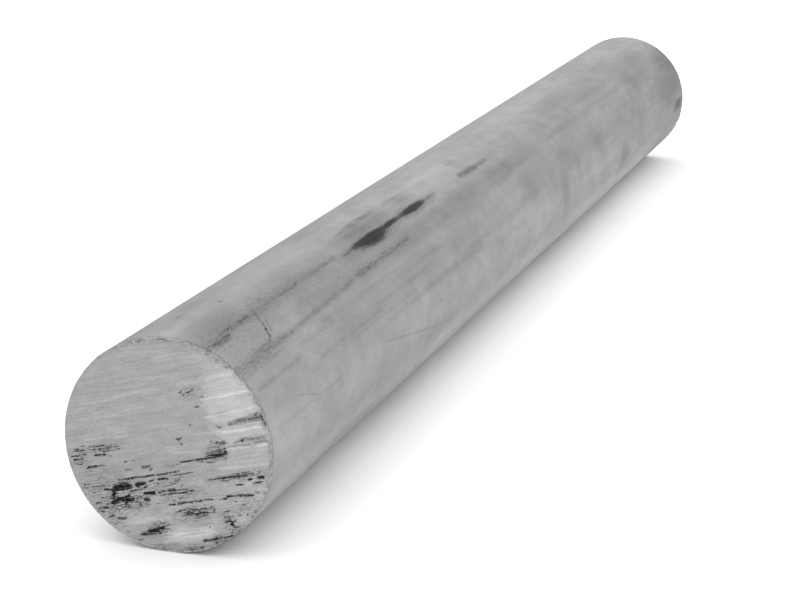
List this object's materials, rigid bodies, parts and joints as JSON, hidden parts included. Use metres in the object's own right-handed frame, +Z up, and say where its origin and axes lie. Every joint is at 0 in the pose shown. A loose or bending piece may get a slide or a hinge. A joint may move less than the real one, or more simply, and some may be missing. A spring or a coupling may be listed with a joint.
{
  "type": "round metal bar",
  "caption": "Solid round aluminium bar with a mill-finish surface and square, band-sawn ends, stocked for turning, machining and frames.",
  "frame": {"origin": "halfway along the line on which the bar rests, on the floor under its axis", "axes": "+Y along the bar from its front sawn end to its back sawn end, +Z up from the floor, +X to the right seen from the front end"},
  "size_m": [0.032, 0.3, 0.032],
  "materials": {
    "aluminium": "dull mill finish with stains and lengthwise streaks, sawn ends with straight saw marks"
  },
  "bodies": {
    "root": {"round_bar": "aluminium"}
  },
  "joints": []
}
